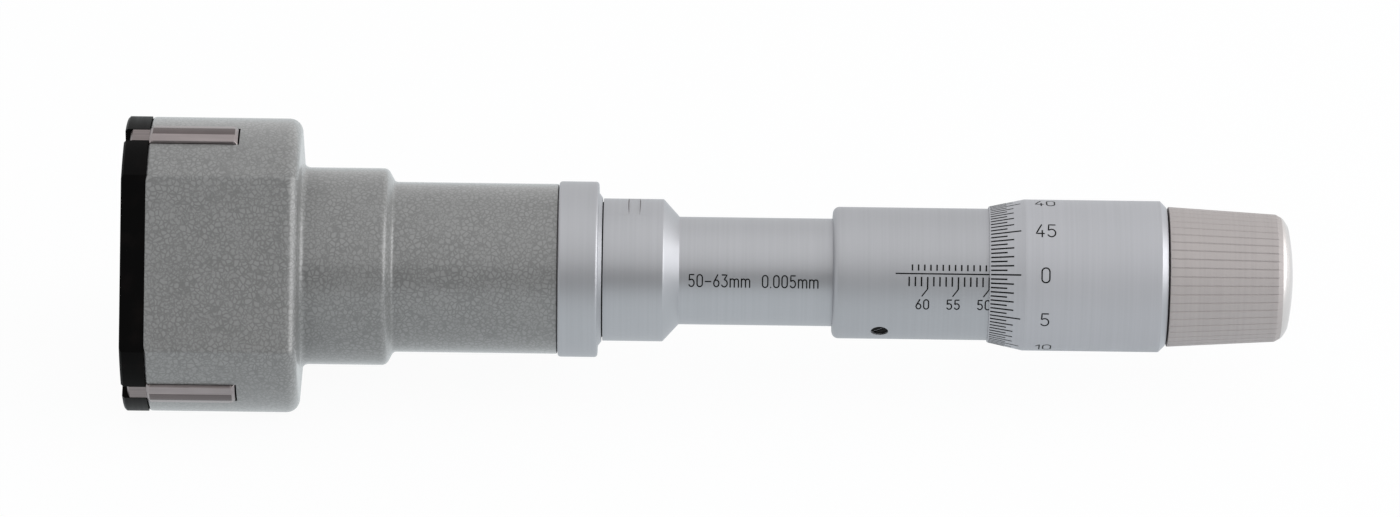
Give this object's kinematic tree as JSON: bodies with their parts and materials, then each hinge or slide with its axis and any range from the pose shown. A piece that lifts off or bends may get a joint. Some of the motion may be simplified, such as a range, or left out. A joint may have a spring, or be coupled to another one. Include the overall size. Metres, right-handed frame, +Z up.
{
  "type": "three-point internal micrometer",
  "caption": "Three-point internal micrometer with a flatted head, radial anvils, scale sleeve, thimble and ratchet knob, drawn back to its lowest reading.",
  "frame": {"origin": "centre of the head's front face, where the bore to be measured goes over the head", "axes": "+X along the instrument's axis towards the ratchet knob; +Z up, away from the flat that the head lies on"},
  "size_m": [0.1905, 0.0482, 0.0445],
  "materials": {
    "hammer_paint": "grey hammer-finish paint",
    "black_oxide": "blackened steel",
    "satin_chrome": "satin chrome",
    "grip_chrome": "satin chrome with grooves",
    "ground_steel": "ground hardened steel",
    "hard_metal": "ground hard metal",
    "spring_steel": "drawn wire",
    "bush_brass": "turned brass"
  },
  "bodies": {
    "head": {"head_body": "hammer_paint", "end_cap": "black_oxide", "cap_screws": "black_oxide", "guide_bush": "bush_brass", "ring_nut": "satin_chrome", "barrel": "satin_chrome", "scale_sleeve": "satin_chrome", "sleeve_set_screw": "black_oxide", "adjusting_nut": "black_oxide", "cone_return_spring": "spring_steel", "anvil_spring_1": "spring_steel", "anvil_spring_2": "spring_steel", "anvil_spring_3": "spring_steel"},
    "cone": {"measuring_cone": "ground_steel", "spring_collar": "ground_steel", "thrust_ball": "ground_steel"},
    "thimble": {"thimble": "satin_chrome", "spindle": "ground_steel", "ratchet_hub": "ground_steel", "ratchet_disc": "ground_steel", "ratchet_spring": "spring_steel"},
    "ratchet": {"ratchet_knob": "grip_chrome", "retaining_ring": "spring_steel"},
    "anvil_1": {"anvil_1": "ground_steel", "anvil_tip_1": "hard_metal"},
    "anvil_2": {"anvil_2": "ground_steel", "anvil_tip_2": "hard_metal"},
    "anvil_3": {"anvil_3": "ground_steel", "anvil_tip_3": "hard_metal"}
  },
  "joints": [
    {"name": "cone_travel", "type": "slide", "parent": "head", "child": "cone", "axis": [-1, 0, 0], "range_m": [0, 0.013], "deforming": ["cone_return_spring"]},
    {"name": "thimble_turn", "type": "hinge", "parent": "cone", "child": "thimble", "pos_m": [0.155, 0, 0], "axis": [-1, 0, 0], "range_deg": [0, 9360]},
    {"name": "ratchet_turn", "type": "hinge", "parent": "thimble", "child": "ratchet", "pos_m": [0.18, 0, 0], "axis": [-1, 0, 0], "continuous": true},
    {"name": "anvil_1_slide", "type": "slide", "parent": "head", "child": "anvil_1", "axis": [0, 0, 1], "range_m": [0, 0.0065], "deforming": ["anvil_spring_1"]},
    {"name": "anvil_2_slide", "type": "slide", "parent": "head", "child": "anvil_2", "axis": [0, -0.866, -0.5], "range_m": [0, 0.0065], "deforming": ["anvil_spring_2"]},
    {"name": "anvil_3_slide", "type": "slide", "parent": "head", "child": "anvil_3", "axis": [0, 0.866, -0.5], "range_m": [0, 0.0065], "deforming": ["anvil_spring_3"]}
  ],
  "couplings": [
    {"joint": "thimble_turn", "follows": "cone_travel", "rad_per_m": 12566},
    {"joint": "anvil_1_slide", "follows": "cone_travel", "ratio": 0.5},
    {"joint": "anvil_2_slide", "follows": "cone_travel", "ratio": 0.5},
    {"joint": "anvil_3_slide", "follows": "cone_travel", "ratio": 0.5}
  ]
}
